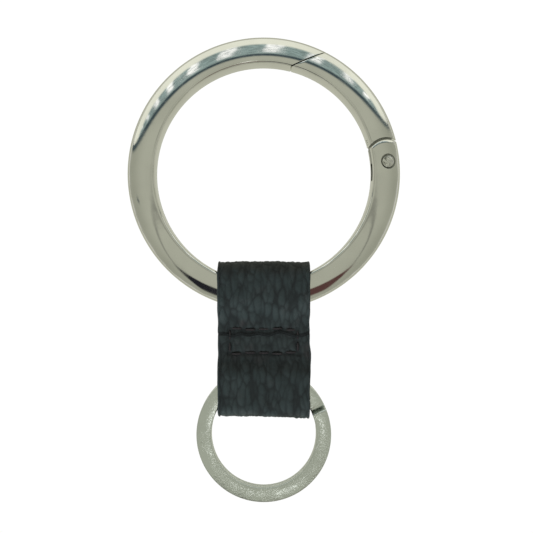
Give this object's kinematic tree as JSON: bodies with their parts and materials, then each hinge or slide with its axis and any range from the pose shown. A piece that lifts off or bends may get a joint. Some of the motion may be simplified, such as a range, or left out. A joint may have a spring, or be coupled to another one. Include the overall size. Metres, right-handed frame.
{
  "type": "key holder with spring-gate ring, leather strap and split ring",
  "caption": "Key holder: a round spring-gate ring and a small split ring joined by a folded leather strap that is sewn across its middle.",
  "frame": {"origin": "centre of the gate ring, in the middle of its bar's thickness", "axes": "+Z along the gate ring's axis, towards the side that is seen; -Y from the gate ring towards the split ring; +X towards the gate's hinge"},
  "size_m": [0.05, 0.085, 0.007],
  "materials": {
    "nickel_plate": "polished nickel plate on a zinc casting, with a slight warm tint",
    "nickel_wire": "nickel-plated flat spring wire, tumbled, with fine scratches",
    "spring_steel": "drawn spring wire",
    "black_leather": "soft pebbled grain, black with a blue-green cast, low sheen",
    "thread": "twisted polyester sewing thread, very dark brown"
  },
  "bodies": {
    "gate_ring": {"ring_body": "nickel_plate", "pivot_rivet": "nickel_plate", "gate_spring": "spring_steel"},
    "gate": {"gate": "nickel_plate"},
    "upper_loop": {"strap_upper_loop": "black_leather"},
    "waist": {"strap_waist": "black_leather", "needle_thread": "thread", "bobbin_thread": "thread"},
    "tail_loop": {"strap_tail_loop": "black_leather"},
    "split_ring": {"split_ring": "nickel_wire"}
  },
  "joints": [
    {"name": "gate_swing", "type": "hinge", "parent": "gate_ring", "child": "gate", "pos_m": [0.02258, 0.0021, 0], "axis": [0, 0, 1], "range_deg": [0, 40], "stiffness_Nm_per_rad": 0.012, "springref_deg": -20.05, "deforming": ["gate_spring"]},
    {"name": "strap_travel", "type": "hinge", "parent": "gate_ring", "child": "upper_loop", "pos_m": [0, 0, 0], "axis": [0, 0, 1], "range_deg": [-135, 50]},
    {"name": "upper_flex", "type": "hinge", "parent": "upper_loop", "child": "waist", "pos_m": [0, -0.0275, 0], "axis": [1, 0, 0], "range_deg": [-35, 35], "deforming": ["strap_waist"]},
    {"name": "tail_flex", "type": "hinge", "parent": "waist", "child": "tail_loop", "pos_m": [0, -0.0337, 0], "axis": [1, 0, 0], "range_deg": [-35, 35]},
    {"name": "split_ring_turn", "type": "hinge", "parent": "tail_loop", "child": "split_ring", "pos_m": [0, -0.0477, 0], "axis": [0, 0, 1], "continuous": true}
  ]
}
